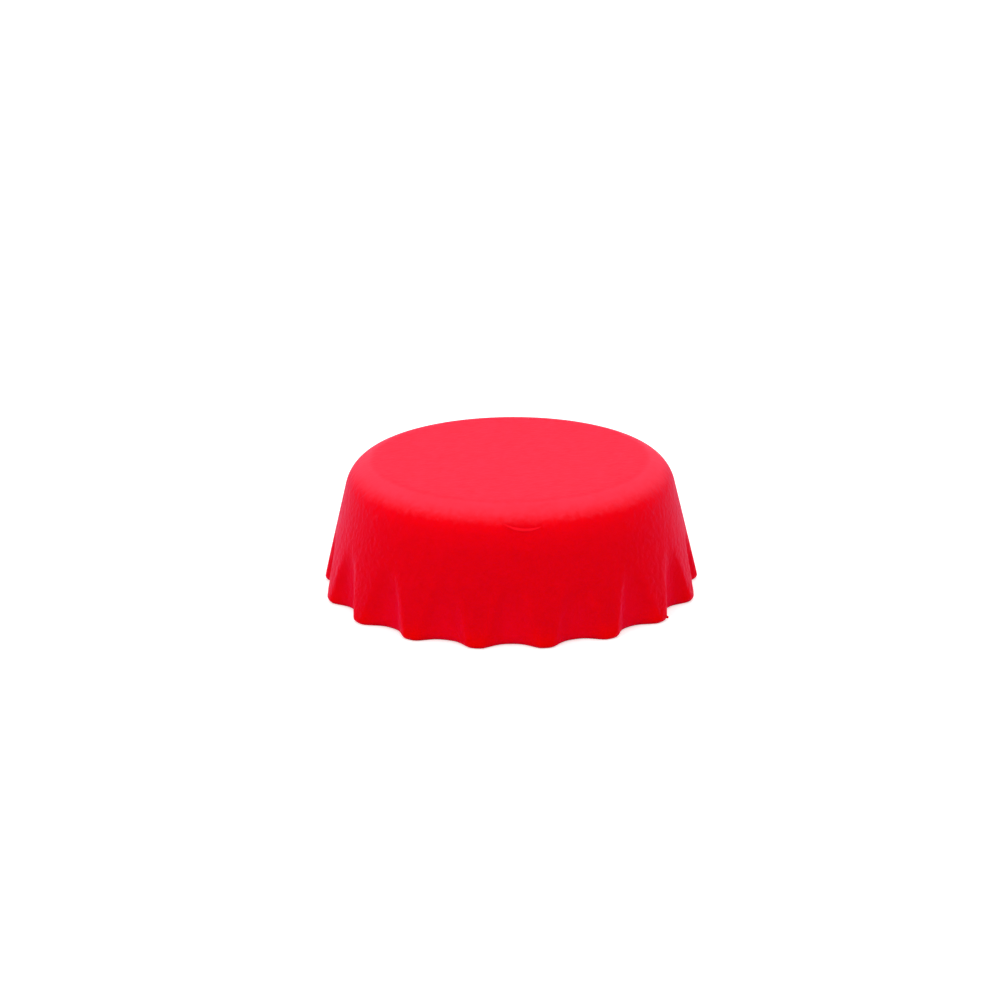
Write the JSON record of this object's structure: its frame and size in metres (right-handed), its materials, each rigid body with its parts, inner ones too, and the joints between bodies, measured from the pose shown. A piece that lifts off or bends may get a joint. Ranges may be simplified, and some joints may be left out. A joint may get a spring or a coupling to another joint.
{
  "type": "reusable bottle cap",
  "caption": "One-piece soft silicone bottle cap in crown-cork form: flat round top, leaning side with flutes at the rim, and a hollow inside with a grip ring that snaps under a bottle lip.",
  "frame": {"origin": "centre of the rim on the cap's axis, in the plane that the cap stands on", "axes": "+Z along the cap's axis from the open mouth to the flat top; a flute crest points along +Y and a valley along -Y"},
  "size_m": [0.0328, 0.0326, 0.0116],
  "materials": {
    "silicone": "soft matte red silicone with a fine moulded grain"
  },
  "bodies": {
    "root": {"cap": "silicone"}
  },
  "joints": []
}
